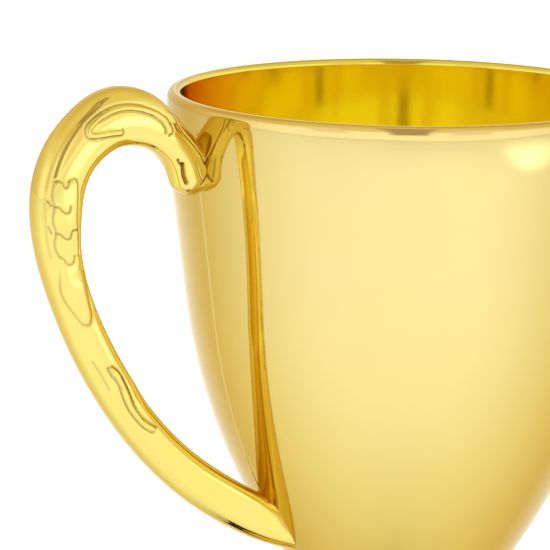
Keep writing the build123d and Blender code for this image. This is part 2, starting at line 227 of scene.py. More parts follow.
def plated_gold(name, light, bottom_shaded, rough=(0.035, 0.07), wave=0.0006, coat=0.0, slant_tint=(0.66, 0.51, 0.12),
                slant_from=(0.24, 0.66)):
    """Vacuum-plated mirror gold with painted shade, deeper towards the bottom and paler near the rim, for the shaded
    floor it reflects low down; a slight drift of tint, a fine haze and a faint moulded waviness.
    """
    mat, nt, b = node_material(name)
    co = object_coords(nt)
    drift = noise(nt, 22.0, 2.0, 0.5, co)
    place = nt.nodes.new("ShaderNodeSeparateXYZ")
    nt.links.new(co, place.inputs["Vector"])
    # painted shade: by height the colour runs from the deeper one at the bottom to the paler one near the rim, for the
    # shaded floor reflected low on each part; the noise drift added to it is random tone
    height = mapped(nt, place.outputs["Z"], 0.0, 0.9, 0.10, 0.20)
    painted_shade_and_drift = nt.nodes.new("ShaderNodeMath")
    painted_shade_and_drift.operation = "ADD"
    nt.links.new(height, painted_shade_and_drift.inputs[0])
    nt.links.new(mapped(nt, drift.outputs["Fac"], -0.08, 0.08, 0.3, 0.7), painted_shade_and_drift.inputs[1])
    colour = mix_colour(nt, painted_shade_and_drift.outputs[0], bottom_shaded, light)
    # the tinted lacquer looks deeper at a slant
    slant = nt.nodes.new("ShaderNodeLayerWeight")
    slant.inputs["Blend"].default_value = 0.5
    tint = nt.nodes.new("ShaderNodeMix")
    tint.data_type = "RGBA"
    tint.blend_type = "MULTIPLY"
    tint.inputs[7].default_value = (*slant_tint, 1)
    nt.links.new(mapped(nt, slant.outputs["Facing"], 0.0, 1.0, *slant_from), tint.inputs[0])
    nt.links.new(colour, tint.inputs[6])
    # painted shade: the colour turns dark brown along the moulded creases and other marked lines, for the darkness
    # reflected in them
    at = nt.nodes.new("ShaderNodeAttribute")
    at.attribute_name = "painted_shade"
    painted_shade_mix = nt.nodes.new("ShaderNodeMix")
    painted_shade_mix.data_type = "RGBA"
    painted_shade_mix.inputs[7].default_value = (0.22, 0.075, 0.004, 1)
    nt.links.new(tint.outputs[2], painted_shade_mix.inputs[6])
    nt.links.new(mapped(nt, at.outputs["Fac"], 0.0, 0.9), painted_shade_mix.inputs[0])
    nt.links.new(painted_shade_mix.outputs[2], b.inputs["Base Color"])
    b.inputs["Metallic"].default_value = 1.0
    haze = noise(nt, 160.0, 4.0, 0.6, co)
    nt.links.new(mapped(nt, haze.outputs["Fac"], rough[0], rough[1], 0.3, 0.7), b.inputs["Roughness"])
    b.inputs["Coat Weight"].default_value = coat
    b.inputs["Coat Roughness"].default_value = 0.03
    if wave:
        w = noise(nt, 38.0, 1.0, 0.4, co)
        bump = nt.nodes.new("ShaderNodeBump")
        bump.inputs["Strength"].default_value = 0.35
        bump.inputs["Distance"].default_value = wave
        nt.links.new(w.outputs["Fac"], bump.inputs["Height"])
        nt.links.new(bump.outputs["Normal"], b.inputs["Normal"])
    return mat


GOLD = plated_gold("plated_gold", (0.95, 0.81, 0.365), (0.95, 0.76, 0.19), wave=0.0, slant_from=(0.12, 0.58))
# the inside of the bowl gets its own copy of the gold, more saturated and less blue: painted reflection, the colour of
# the gold reflecting itself
GOLD_IN_PAINTED_REFLECTION = plated_gold("plated_gold_inside_painted_reflection", (0.94, 0.835, 0.16), (0.93, 0.82, 0.12), wave=0.0, slant_tint=(1.0, 0.93, 0.85), rough=(0.07, 0.10))
GOLD_HANDLE = plated_gold("plated_gold_handle", (0.98, 0.84, 0.25), (0.98, 0.83, 0.21), wave=0.0, slant_tint=(0.72, 0.58, 0.16))

def gloss_black():
    mat, nt, b = node_material("gloss_black_plastic")
    co = object_coords(nt)
    n1 = noise(nt, 60.0, 3.0, 0.6, co)
    nt.links.new(mix_colour(nt, n1.outputs["Fac"], (0.006, 0.006, 0.007), (0.013, 0.013, 0.015)), b.inputs["Base Color"])
    n2 = noise(nt, 420.0, 5.0, 0.7, co)
    nt.links.new(mapped(nt, n2.outputs["Fac"], 0.07, 0.17, 0.3, 0.75), b.inputs["Roughness"])
    bump = nt.nodes.new("ShaderNodeBump")
    bump.inputs["Strength"].default_value = 0.15
    bump.inputs["Distance"].default_value = 0.00008
    n3 = noise(nt, 90.0, 1.0, 0.5, co)
    nt.links.new(n3.outputs["Fac"], bump.inputs["Height"])
    nt.links.new(bump.outputs["Normal"], b.inputs["Normal"])
    b.inputs["IOR"].default_value = 1.52
    return mat


def metal(name, a, c, rough, scale, stretch=(1, 1, 1), bump_d=0.00004):
    mat, nt, b = node_material(name)
    co = object_coords(nt, stretch)
    n1 = noise(nt, scale, 4.0, 0.6, co)
    nt.links.new(mix_colour(nt, n1.outputs["Fac"], a, c), b.inputs["Base Color"])
    b.inputs["Metallic"].default_value = 1.0
    nt.links.new(mapped(nt, n1.outputs["Fac"], rough[0], rough[1], 0.3, 0.7), b.inputs["Roughness"])
    bump = nt.nodes.new("ShaderNodeBump")
    bump.inputs["Strength"].default_value = 0.4
    bump.inputs["Distance"].default_value = bump_d
    nt.links.new(n1.outputs["Fac"], bump.inputs["Height"])
    nt.links.new(bump.outputs["Normal"], b.inputs["Normal"])
    return mat


def rough_solid(name, a, c, rough, scale, bump_d, detail=6.0, voronoi=False):
    mat, nt, b = node_material(name)
    co = object_coords(nt)
    n1 = noise(nt, scale, detail, 0.65, co)
    nt.links.new(mix_colour(nt, n1.outputs["Fac"], a, c), b.inputs["Base Color"])
    nt.links.new(mapped(nt, n1.outputs["Fac"], rough[0], rough[1], 0.3, 0.7), b.inputs["Roughness"])
    bump = nt.nodes.new("ShaderNodeBump")
    bump.inputs["Strength"].default_value = 0.7
    bump.inputs["Distance"].default_value = bump_d
    height = n1.outputs["Fac"]
    if voronoi:
        v = nt.nodes.new("ShaderNodeTexVoronoi")
        v.inputs["Scale"].default_value = scale * 1.4
        nt.links.new(co, v.inputs["Vector"])
        height = v.outputs["Distance"]
    nt.links.new(height, bump.inputs["Height"])
    nt.links.new(bump.outputs["Normal"], b.inputs["Normal"])
    return mat


BLACK = gloss_black()
STEEL = metal("zinc_plated_steel", (0.62, 0.63, 0.64), (0.74, 0.75, 0.77), (0.22, 0.36), 900.0)
BRASS = metal("polished_brass", (0.80, 0.58, 0.24), (0.88, 0.68, 0.32), (0.10, 0.22), 500.0)
PLATE = metal("brushed_gold_sheet", (0.83, 0.66, 0.30), (0.95, 0.80, 0.44), (0.20, 0.34), 260.0, (1, 1, 30), 0.00002)
IRON = rough_solid("cast_iron_grey", (0.035, 0.035, 0.037), (0.10, 0.10, 0.105), (0.55, 0.8), 500.0, 0.0003)
FOAM = rough_solid("black_foam", (0.010, 0.010, 0.011), (0.028, 0.028, 0.03), (0.85, 0.97), 900.0, 0.00025, voronoi=True)
BOARD = rough_solid("textured_black_board", (0.012, 0.012, 0.013), (0.03, 0.03, 0.032), (0.45, 0.6), 700.0, 0.00012)
TAPE = rough_solid("white_foam_tape", (0.68, 0.68, 0.65), (0.80, 0.80, 0.77), (0.6, 0.75), 600.0, 0.00008)

# ----------------------------------------------------------------- bowl
bowl_lo, bowl_hi = (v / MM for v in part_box("bowl"))
BASE = bowl_lo.z
FLOOR = BASE + 4.5
RIM_OUT = (52.60, 230.4)
RIM_IN = (49.4, 230.7)
OUT = np.array([
    RIM_OUT, (52.74, 228.4), (52.78, 225.0), (52.66, 221.0), (52.27, 216.5),
    (51.74, 212.0), (51.02, 206.5), (49.92, 198.5), (48.68, 189.0),
    (46.74, 177.0), (43.76, 165.0), (39.52, 153.0), (33.82, 141.0),
    (27.40, 130.0), (21.00, 120.0), (15.95, 111.5), (13.30, 106.4), (12.40, BASE),
])
LIP_LINE = np.array([RIM_IN, (49.62, 231.45), (50.15, 231.88), (50.85, 232.0), (51.62, 231.86), (52.25, 231.35), RIM_OUT])
chord = np.r_[0, np.cumsum(np.hypot(*np.diff(OUT, axis=0).T))]
out_at = natural_spline(chord, OUT, np.array([0.10, -1.0]) / math.hypot(0.10, 1), np.array([-0.25, -1.0]) / math.hypot(0.25, 1))
r_of_z = natural_spline(OUT[::-1, 1], OUT[::-1, 0], 0.25, -0.10)


def wall_t(z):
    """Wall thickness: even, thickening under the rim."""
    return 2.6 + 0.8 * smoothstep(z, 200.0, 225.0)


fine = np.linspace(0, chord[-1], 4000)
outer = out_at(fine)
tangent = out_at(fine, 1)
tangent /= np.linalg.norm(tangent, axis=1)[:, None]
inward = np.stack([tangent[:, 1], -tangent[:, 0]], -1)
inward[inward[:, 0] > 0] *= -1
inner = outer + inward * wall_t(outer[:, 1])[:, None]
keep = (inner[:, 1] > FLOOR + 2.0) & (inner[:, 1] < 227.0)
inner = np.vstack([[RIM_IN], inner[keep]])
inner_s = np.r_[0, np.cumsum(np.hypot(*np.diff(inner, axis=0).T))]
pick = np.unique(np.r_[0, np.searchsorted(inner_s, np.linspace(4.5, inner_s[-1], 30)).clip(0, len(inner) - 1)])
inner = natural_spline(inner_s[pick], inner[pick], np.array([0.0, -1.0]))(np.linspace(0, inner_s[pick][-1], 3000))


def resample(points, step_of):
    """Points along a polyline with a spacing that depends on height."""
    out, last = [points[0]], 0.0
    s = np.r_[0, np.cumsum(np.hypot(*np.diff(points, axis=0).T))]
    want = step_of(points[0][1])
    for p, d in zip(points, s):
        if d - last >= want:
            out.append(p)
            last = d
            want = step_of(p[1])
    if np.hypot(*(np.array(out[-1]) - points[-1])) > 0.3:
        out.append(points[-1])
    else:
        out[-1] = points[-1]
    return [tuple(map(float, p)) for p in out]


def outer_step(z):
    return 0.5 if z > 220 else 1.3


def inner_step(z):
    return 0.35 if (213.5 < z < 222.0 or 139.5 < z < 149.5) else 1.6


out_pts = resample(outer, outer_step)
in_pts = resample(inner, inner_step)
lip_s = np.r_[0, np.cumsum(np.hypot(*np.diff(LIP_LINE, axis=0).T))]
lip_at = natural_spline(lip_s, LIP_LINE, np.array([0.0, 1.0]), np.array([0.10, -1.0]) / math.hypot(0.10, 1))
lip = [tuple(map(float, p)) for p in lip_at(np.linspace(0, lip_s[-1], 34)[1:-1])]
end_r, end_z = in_pts[-1]
floor_r = end_r - 2.4
floor = [((1 - t) ** 2 * end_r + 2 * t * (1 - t) * (end_r - 1.3) + t * t * floor_r,
          (1 - t) ** 2 * end_z + 2 * t * (1 - t) * FLOOR + t * t * FLOOR) for t in np.linspace(0, 1, 9)[1:]]
# closed loop: outside down, underside, hole, floor, inside up, lip
profile = out_pts[1:] + [(12.0, BASE), (3.3, BASE), (3.3, FLOOR), (6.5, FLOOR)] + floor[::-1] + in_pts[::-1] + lip + [out_pts[0]]
n_out = len(out_pts) - 1
n_first_in = n_out + 4

near = np.radians(np.r_[np.arange(-4.5, -0.9, 0.3), np.arange(-0.9, 0.91, 0.1), np.arange(1.2, 4.51, 0.3)])
ring = np.radians(np.arange(0, 360, 1.2))
angles = [a for a in ring if min(abs((a + math.pi) % (2 * math.pi) - math.pi), abs(a - math.pi)) > math.radians(4.6)]
angles = np.sort(np.r_[angles, near % (2 * np.pi), near + np.pi])

def seat(z, flat):
    """Seat plane of a handle screw on +X: its origin and outward direction."""
    k = int(np.argmin(np.abs(outer[:, 1] - z)))
    p = outer[k]
    n = np.array([1.0, 0.0]) if flat else -inward[k]
    return p - n * (float(wall_t(z)) - 0.4), n


SEATS = [seat(143.0, False)]


def bowl_shape(co, ang):
    """Mould parting line down both sides, and the flat screw seats on the inside."""
    x, y, z = co[..., 0], co[..., 1], co[..., 2]
    r = np.hypot(x, y)
    side = np.minimum(np.abs((ang + np.pi) % (2 * np.pi) - np.pi), np.abs(ang - np.pi))[None, :] * r
    outside = np.zeros_like(r)
    outside[:n_out] = 1
    lift = 0.09 * np.exp(-((side / 0.22) ** 2)) * outside * smoothstep(z, BASE + 3, BASE + 12) * (1 - smoothstep(z, 224, 229))
    k = 1 + lift / np.maximum(r, 1)
    co[..., 0] *= k
    co[..., 1] *= k
    for (o, n) in SEATS:
        for sx in (1, -1):
            dx, dy, dz = co[..., 0] * sx - o[0], co[..., 1], co[..., 2] - o[1]
            along = dx * n[0] + dz * n[1]
            off = np.sqrt(np.maximum(dx**2 + dy**2 + dz**2 - along**2, 0))
            hit = (off < 3.7) & (along < 0) & (along > -2.5)
            hit[:n_first_in] = False
            co[..., 0] -= np.where(hit, along * n[0] * sx, 0)
            co[..., 2] -= np.where(hit, along * n[1], 0)
    return co


bowl = lathe("bowl_shell", profile, [GOLD, GOLD_IN_PAINTED_REFLECTION], angles=angles, sharp=40.0, shape=bowl_shape)
m = len(angles)
inside_rows = range(n_first_in, len(profile) - len(lip) // 2 - 1)
material_index = np.zeros(len(bowl.data.polygons), np.int32)
material_index[inside_rows[0] * m:(inside_rows[-1] + 1) * m] = 1
bowl.data.polygons.foreach_set("material_index", material_index)
# painted shade: a fine brown line on top of the lip, where it turns inwards
top_r = np.asarray(profile, float)
lip_painted_shade = np.where(top_r[:, 1] > 231.2, 0.6 * np.exp(-(((top_r[:, 0] - 50.3) / 0.35) ** 2)), 0.0)
at = bowl.data.attributes.new("painted_shade", "FLOAT", "POINT")
at.data.foreach_set("value", np.repeat(lip_painted_shade, m).astype(np.float32))
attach(bowl, "root")
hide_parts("bowl")

# ----------------------------------------------------------------- handles
# centre line (x, z) in the XZ plane, width in that plane, thickness across it, corner exponent
ARM = np.array([
    (-53.60, 213.08, 8.72, 7.40, 2.5), (-54.27, 216.69, 9.01, 8.00, 2.6), (-56.32, 221.52, 8.57, 8.40, 2.9),
    (-60.80, 226.29, 8.68, 9.00, 3.2), (-66.57, 230.08, 11.34, 9.60, 3.2), (-73.01, 231.00, 12.29, 10.00, 3.2),
    (-79.14, 228.02, 11.41, 10.10, 3.2), (-83.63, 223.32, 10.73, 10.10, 3.2), (-86.18, 217.20, 10.45, 10.00, 3.2),
    (-86.80, 210.60, 9.89, 9.90, 3.3), (-86.12, 203.00, 8.73, 9.50, 3.3), (-83.35, 193.22, 7.94, 9.00, 3.3),
    (-79.32, 183.84, 8.01, 8.80, 3.3), (-74.21, 174.59, 8.17, 8.80, 3.4), (-67.58, 165.01, 8.33, 8.80, 3.6),
    (-59.85, 156.24, 8.69, 8.80, 3.8), (-51.25, 148.84, 9.19, 8.80, 4.0), (-42.22, 142.87, 9.48, 8.80, 4.2),
    (-33.54, 138.31, 9.25, 8.80, 4.2), (-26.10, 135.40, 8.66, 8.60, 4.2),
])
CAP = 3.6

# relief on both faces, as (x, z) lines on the left handle
SCROLL = [(-73.9, 228.5), (-77.3, 228.4), (-80.5, 228.3), (-81.25, 228.6), (-81.4, 229.4), (-80.4, 230.7), (-78.8, 231.9),
          (-77.1, 232.75), (-75.1, 233.4), (-73.0, 233.65), (-71.3, 233.6), (-69.5, 233.3), (-67.7, 232.75),
          (-65.8, 232.0), (-64.1, 231.0), (-62.9, 230.0), (-62.2, 228.9), (-61.85, 227.9)]
SCROLL_TAIL = [(-62.6, 230.6), (-61.7, 229.5), (-61.15, 227.95)]
S_WIRE_L = [(-76.25, 178.1), (-75.3, 176.45), (-73.95, 174.75), (-73.0, 172.65), (-72.05, 170.3), (-70.65, 167.8),
            (-68.9, 165.6), (-67.05, 163.9), (-65.5, 163.0)]
S_WIRE_R = [(-75.4, 178.3), (-74.1, 177.2), (-72.85, 175.15), (-71.75, 172.9), (-70.75, 170.55), (-69.6, 168.3),
            (-68.15, 166.4), (-66.4, 164.9), (-64.8, 163.95)]
S_CREASE = [(-73.2, 176.1), (-72.1, 173.85), (-70.85, 171.3), (-69.6, 168.6)]
COLUMN_L = [(-89.05, 219.3), (-89.55, 217.5), (-89.65, 215.5), (-89.35, 214.05), (-89.6, 212.3), (-89.5, 210.3),
            (-89.0, 208.35), (-89.2, 206.5), (-88.95, 204.8), (-88.05, 203.2)]
COLUMN_R = [(-84.0, 218.65), (-83.85, 216.0), (-83.9, 212.9), (-83.9, 210.3), (-83.65, 208.1), (-83.4, 205.3), (-83.45, 203.2)]
SCALE_1 = [(-89.05, 219.3), (-88.2, 219.3), (-87.55, 218.65), (-86.8, 217.7), (-86.4, 218.2), (-86.0, 219.2), (-85.1, 219.5),
           (-84.55, 219.5), (-84.0, 218.65)]
SCALE_2 = [(-89.35, 214.05), (-88.25, 213.65), (-87.6, 212.9), (-86.8, 212.4), (-86.1, 212.5), (-85.65, 213.85)]
SCALE_3 = [(-89.0, 208.3), (-88.15, 208.1), (-87.45, 207.45), (-86.6, 206.9), (-85.85, 206.95), (-85.2, 208.5), (-83.9, 208.65)]
SCALE_4 = [(-88.05, 203.2), (-86.85, 202.25), (-86.2, 201.45), (-85.0, 201.6), (-84.5, 203.1)]
TICK_1 = [(-90.5, 215.25), (-89.9, 214.25)]
TICK_2 = [(-90.45, 209.75), (-89.85, 208.45)]
LEAF = [(-88.05, 203.2), (-87.6, 199.5), (-87.3, 196.2), (-86.9, 194.9), (-85.9, 192.9), (-84.6, 191.1), (-83.2, 189.2), (-82.0, 188.1),
        (-80.9, 187.95), (-80.45, 189.0), (-80.35, 190.1), (-80.7, 192.2), (-81.7, 196.5), (-83.0, 200.8)]
RIDGE_OUT = [(-73.9, 236.8), (-76.3, 235.75), (-78.4, 234.3), (-80.35, 232.85), (-82.4, 231.4), (-84.2, 229.85), (-85.8, 228.05),
             (-87.15, 226.3), (-88.35, 224.3), (-89.3, 222.2), (-90.0, 220.1), (-90.55, 218.05), (-90.9, 215.8), (-91.0, 213.3),
             (-90.95, 210.75), (-90.65, 207.75), (-90.15, 204.8), (-89.65, 203.05)]
RIDGE_IN_LOW = [(-66.7, 166.6), (-62.5, 161.6), (-57.55, 156.8), (-52.5, 152.8), (-47.35, 149.55), (-42.2, 146.7), (-38.95, 144.6), (-36.45, 142.5)]
CREASE_UP = [(-60.6, 231.3), (-59.65, 229.4), (-59.3, 228.6), (-58.55, 227.45), (-57.3, 226.05), (-55.9, 224.5), (-54.5, 222.85), (-53.5, 221.5)]
KNOB_EDGE = [(-53.4, 221.4), (-52.6, 220.25), (-52.15, 219.35), (-52.1, 218.1), (-52.6, 217.0), (-53.65, 215.7)]
LOBE = [(-55.96, 221.89), (-55.32, 218.62), (-54.32, 216.17), (-53.83, 215.91), (-52.36, 216.66), (-52.13, 218.37), (-52.65, 220.57),
        (-53.15, 221.47), (-55.11, 222.04)]
LOBE_LINE = [(-55.3, 220.6), (-54.84, 219.66), (-54.3, 218.0), (-53.59, 216.54)]
NOTCHES = [(-79.9, 179.8), (-78.3, 177.35), (-77.15, 175.45), (-75.9, 173.15)]
KNOB_SLOT = [(-58.35, 220.3), (-58.0, 218.75), (-57.65, 217.45), (-57.1, 216.3)]
KNOB_BAR = [(-59.5, 221.45), (-59.0, 220.7), (-58.2, 220.4)]


def dense(line, n=140):
    line = np.asarray(line, float)
    s = np.r_[0, np.cumsum(np.hypot(*np.diff(line, axis=0).T))]
    if len(line) > 3:
        return natural_spline(s, line)(np.linspace(0, s[-1], n))
    t = np.linspace(0, s[-1], n)
    return np.stack([np.interp(t, s, line[:, 0]), np.interp(t, s, line[:, 1])], -1)


def distance(points, line):
    """Distance in XZ from points to a dense line, in slices to keep memory small."""
    line = dense(line)
    out = np.empty(len(points))
    for k in range(0, len(points), 20000):
        p = points[k:k + 20000]
        d = ((p[:, None, :] - line[None]) ** 2).sum(-1)
        out[k:k + 20000] = np.sqrt(d.min(1))
    return out


def inside(points, polygon):
    """Even-odd test."""
    x, z = points[:, 0], points[:, 1]
    poly = np.asarray(polygon, float)
    hit = np.zeros(len(points), bool)
    for (x0, z0), (x1, z1) in zip(poly, np.roll(poly, -1, 0)):
        cross = ((z0 > z) != (z1 > z)) & (x < (x1 - x0) * (z - z0) / (z1 - z0 + 1e-12) + x0)
        hit ^= cross
    return hit


def wire(d, half, height):
    """Raised round wire."""
    t = np.clip(d / half, 0, 1)
    return height * np.sqrt(np.clip(1 - t**2, 0, 1)) * (1 - smoothstep(d, half * 0.9, half * 1.15))


def groove(d, half, depth):
    return -depth * np.exp(-((d / half) ** 2))


def relief(p):
    """Height of the relief above the plain face at points (x, z) of the left handle, and how much painted shade each
    gets in the creases (0 to 1).
    """
    h = np.zeros(len(p))
    painted_shade = np.zeros(len(p))

    # a groove cut into the face, with painted shade along it
    def cut(d, half, depth, shade_strength=0.8):
        nonlocal h, painted_shade
        g = np.exp(-((d / half) ** 2))
        h -= depth * g
        painted_shade = np.maximum(painted_shade, shade_strength * np.exp(-((d / max(half, 0.2)) ** 2)))

    d = distance(p, SCROLL)
    h += wire(d, 0.62, 0.50)
    # the lower bar runs close under the wire, with only a shallow hollow between them
    between = (smoothstep(p[:, 0], -81.2, -80.6) * (1 - smoothstep(p[:, 0], -74.2, -73.4))
               * smoothstep(p[:, 1], 228.6, 228.9) * (1 - smoothstep(p[:, 1], 230.4, 231.0)))
    cut(np.abs(d - 0.80) + 3.0 * between, 0.20, 0.20, 0.62)
    cut(distance(p, SCROLL_TAIL), 0.17, 0.26, 0.65)
    # S-shaped wire between two lines
    ins = inside(p, S_WIRE_L + S_WIRE_R[::-1])
    dl = np.minimum(distance(p, S_WIRE_L), distance(p, S_WIRE_R))
    signed = np.where(ins, dl, -dl)
    h += 0.45 * smoothstep(signed, -0.2, 0.4)
    cut(np.abs(signed + 0.25), 0.18, 0.18, 0.75)
    cut(distance(p, S_CREASE), 0.18, 0.34, 1.0)
    # column of overlapping scales
    ins = inside(p, COLUMN_L + COLUMN_R[::-1])
    dc = np.minimum(distance(p, COLUMN_L), distance(p, COLUMN_R))
    signed = np.where(ins, dc, -dc)
    h += 0.16 * smoothstep(signed, -0.12, 0.25) * smoothstep(p[:, 1], 201.5, 204.0) * (1 - smoothstep(p[:, 1], 218.6, 219.6))
    for line, depth, shade_strength in ((COLUMN_L, 0.22, 0.55), (COLUMN_R, 0.20, 0.6), (SCALE_1, 0.28, 0.72), (SCALE_2, 0.26, 0.7),
                              (SCALE_3, 0.26, 0.7), (SCALE_4, 0.2, 0.6), (TICK_1, 0.18, 0.5), (TICK_2, 0.18, 0.5)):
        cut(distance(p, line), 0.17, depth, shade_strength)
    # leaf with a hollow flank, with painted shade in the hollow
    ins = inside(p, LEAF)
    dl = distance(p, LEAF + LEAF[:1])
    signed = np.where(ins, dl, -dl)
    low = 1 - smoothstep(p[:, 1], 196.0, 202.0)
    h += 0.36 * smoothstep(signed, -0.1, 0.9) * low
    g = np.exp(-((np.abs(signed + 0.2) / 0.22) ** 2)) * low
    h -= 0.14 * g
    painted_shade = np.maximum(painted_shade, 0.45 * g)
    cut(distance(p, NOTCHES), 0.2, 0.16, 0.4)
    cut(distance(p, RIDGE_OUT), 0.2, 0.08, 0.3)
    # dished lobe of the knob, next to the bowl, with painted shade over the dish
    ins = inside(p, LOBE)
    dl = distance(p, LOBE + LOBE[:1])
    signed = np.where(ins, dl, -dl)
    h -= 0.12 * smoothstep(signed, 0.0, 1.1)
    painted_shade = np.maximum(painted_shade, 0.26 * smoothstep(signed, -0.1, 0.5))
    cut(distance(p, LOBE_LINE), 0.2, 0.15, 0.8)
    cut(distance(p, KNOB_EDGE), 0.26, 0.45, 1.0)
    cut(distance(p, KNOB_SLOT), 0.36, 0.8, 1.0)
    cut(distance(p, KNOB_BAR), 0.24, 0.45, 0.9)
    return h, painted_shade


arm_s = np.r_[0, np.cumsum(np.hypot(*np.diff(ARM[:, :2], axis=0).T))]
arm_at = natural_spline(arm_s, ARM)
_s = np.linspace(0, arm_s[-1], 3000)
_c = arm_at(_s)[:, :2]
_d = arm_at(_s, 1)[:, :2]
_d /= np.linalg.norm(_d, axis=1)[:, None]
_n = np.stack([_d[:, 1], -_d[:, 0]], -1)


def along_arm(line):
    """A line on the face as (distance along the centre line, signed offset from it)."""
    pts = dense(line, 80)
    k = ((pts[:, None, :] - _c[None]) ** 2).sum(-1).argmin(1)
    off = ((pts - _c[k]) * _n[k]).sum(-1)
    order = np.argsort(_s[k])
    return _s[k][order], off[order]


def bevel(s, o, half_w, line, fade, slope, side):
    """How far a face drops beyond a ridge line that runs along the arm."""
    ls, lo = along_arm(line)
    edge = np.interp(s, ls, lo)
    on = smoothstep(s, ls[0] - fade, ls[0]) * (1 - smoothstep(s, ls[-1], ls[-1] + fade))
    beyond = side * (o - edge)
    drop = slope * (np.sqrt(np.clip(beyond, 0, None) ** 2 + 0.01) - 0.1)
    near = np.exp(-((beyond / 0.16) ** 2))
    return drop * on, near * on


def make_handle(name, node, sign):
    rings = 880
    s = np.r_[CAP * (1 - np.cos(np.linspace(0, np.pi / 2, 18)[1:-1])), np.linspace(CAP, arm_s[-1] - 1.0, rings)]
    v = arm_at(s)
    d = arm_at(s, 1)[:, :2]
    d /= np.linalg.norm(d, axis=1)[:, None]
    nrm = np.stack([d[:, 1], -d[:, 0]], -1)
    cap = np.where(s < CAP, np.sqrt(np.clip(1 - (1 - s / CAP) ** 2, 0, 1)), 1.0)
    # section points, closer together on the two broad faces
    a = np.linspace(0, 2 * np.pi, 136, endpoint=False)
    a = a + 0.22 * np.sin(2 * a)
    ca, sa = np.cos(a), np.sin(a)
    # the outer half of each face is rounder than the inner half
    e = np.where(ca[None] > 0, 2 / (2.0 + 0.38 * (v[:, 4, None] - 2.0)), 2 / v[:, 4, None])
    u = np.sign(ca)[None] * np.abs(ca)[None] ** e
    w = np.sign(sa)[None] * np.abs(sa)[None] ** e
    half_w = (cap * v[:, 2] / 2)[:, None]
    half_t = (cap * v[:, 3] / 2)[:, None]
    off = u * half_w + np.where(u > 0, 0.30, 0.12) * u * cap[:, None]
    co = np.zeros((len(s), len(a), 3))
    co[..., 0] = v[:, 0, None] + nrm[:, 0, None] * off
    co[..., 2] = v[:, 1, None] + nrm[:, 1, None] * off
    co[..., 1] = w * half_t
    # bevels towards the bowl: under the knob's crease above, and along the lower arm
    ss = np.repeat(s[:, None], len(a), 1)
    drop1, near1 = bevel(ss, off, half_w, CREASE_UP, 3.0, 0.22, 1)
    drop2, near2 = bevel(ss, off, half_w, RIDGE_IN_LOW, 9.0, 0.50, -1)
    drop = np.minimum(drop1 + drop2, np.abs(co[..., 1]) * 0.8)
    co[..., 1] -= np.sign(co[..., 1]) * drop
    # painted shade along the ridge line under the knob, where a small groove is cut
    painted_shade = np.zeros(co.shape[:2])
    broad = smoothstep(np.abs(w), 0.5, 0.75)
    painted_shade = np.maximum(painted_shade, near1 * broad)
    co[..., 1] -= np.sign(co[..., 1]) * near1 * broad * 0.35
    # relief on the front and back faces, and its painted shade in the creases
    flat = co.reshape(-1, 3)
    facing = np.abs(w).reshape(-1)
    on = facing > 0.45
    h = np.zeros(len(flat))
    shade_strength = np.zeros(len(flat))
    h[on], shade_strength[on] = relief(flat[on][:, [0, 2]])
    h *= smoothstep(facing, 0.5, 0.75)
    shade_strength *= smoothstep(facing, 0.5, 0.75)
    flat[:, 1] += np.sign(flat[:, 1]) * h
    painted_shade = np.maximum(painted_shade.reshape(-1), shade_strength).reshape(painted_shade.shape)
    co = flat.reshape(co.shape)
    # the lower end stops inside the bowl wall, and the knob is pressed flat on it
    depth = 1.2
    for j in range(len(a)):
        r = np.hypot(co[:, j, 0], co[:, j, 1])
        gap = r - r_of_z(np.clip(co[:, j, 2], BASE, RIM_OUT[1]))
        late = np.where((gap < -depth) & (s > 110))[0]
        if len(late):
            stop = late[0]
            first = int(np.searchsorted(s, 118.0))
            t = np.linspace(first, stop, len(s) - first)
            k = np.arange(len(s))
            for c in range(3):
                co[first:, j, c] = np.interp(t, k, co[:, j, c])
            painted_shade[first:, j] = np.interp(t, k, painted_shade[:, j])
    r = np.hypot(co[..., 0], co[..., 1])
    floor_r = r_of_z(np.clip(co[..., 2], BASE, RIM_OUT[1]).reshape(-1)).reshape(r.shape) - depth
    early = (s < 40)[:, None] & (r < floor_r)
    k = np.where(early, floor_r / np.maximum(r, 1e-6), 1.0)
    co[..., 0] *= k
    co[..., 1] *= k
    if sign > 0:
        co[..., 0] *= -1
    n, m = co.shape[:2]
    idx = np.arange(n * m).reshape(n, m)
    p, q = idx[:-1], idx[1:]
    quads = np.stack([p, q, np.roll(q, -1, 1), np.roll(p, -1, 1)], -1).reshape(-1, 4)
    verts = co.reshape(-1, 3)
    fans = [tuple(idx[0]), tuple(idx[-1][::-1])]
    if sign > 0:
        quads = quads[:, ::-1]
        fans = [tuple(f[::-1]) for f in fans]
    ob = add_mesh(name, verts, quads, GOLD_HANDLE, sharp=0, fans=fans)
    # the painted shade goes to the material as a point attribute
    at = ob.data.attributes.new("painted_shade", "FLOAT", "POINT")
    at.data.foreach_set("value", painted_shade.reshape(-1).astype(np.float32))
    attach(ob, "root")
    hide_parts(node)
    return ob


handle_left = make_handle("scroll_handle_left", "handle_left", -1)
handle_right = make_handle("scroll_handle_right", "handle_right", 1)

# ----------------------------------------------------------------- carried-over nodes
LOOK = {
    "bowl_collar": GOLD, "upper_ring": GOLD, "stem_knop": GOLD, "lower_ring": GOLD, "pedestal_foot": GOLD, "base_trim": GOLD,
    "handle_screws": STEEL, "handle_washers": STEEL, "bowl_washer": BRASS, "dome_nut": BRASS, "centre_rod": STEEL,
    "rod_washer": STEEL, "rod_nut": STEEL, "cover_screws": STEEL, "base_plinth": BLACK, "base_weight": IRON,
    "base_cover": BOARD, "base_pad": FOAM, "name_plate": PLATE, "plate_tape": TAPE,
}
for node, mat in LOOK.items():
    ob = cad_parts[node]
    ob.data.materials.clear()
    ob.data.materials.append(mat)

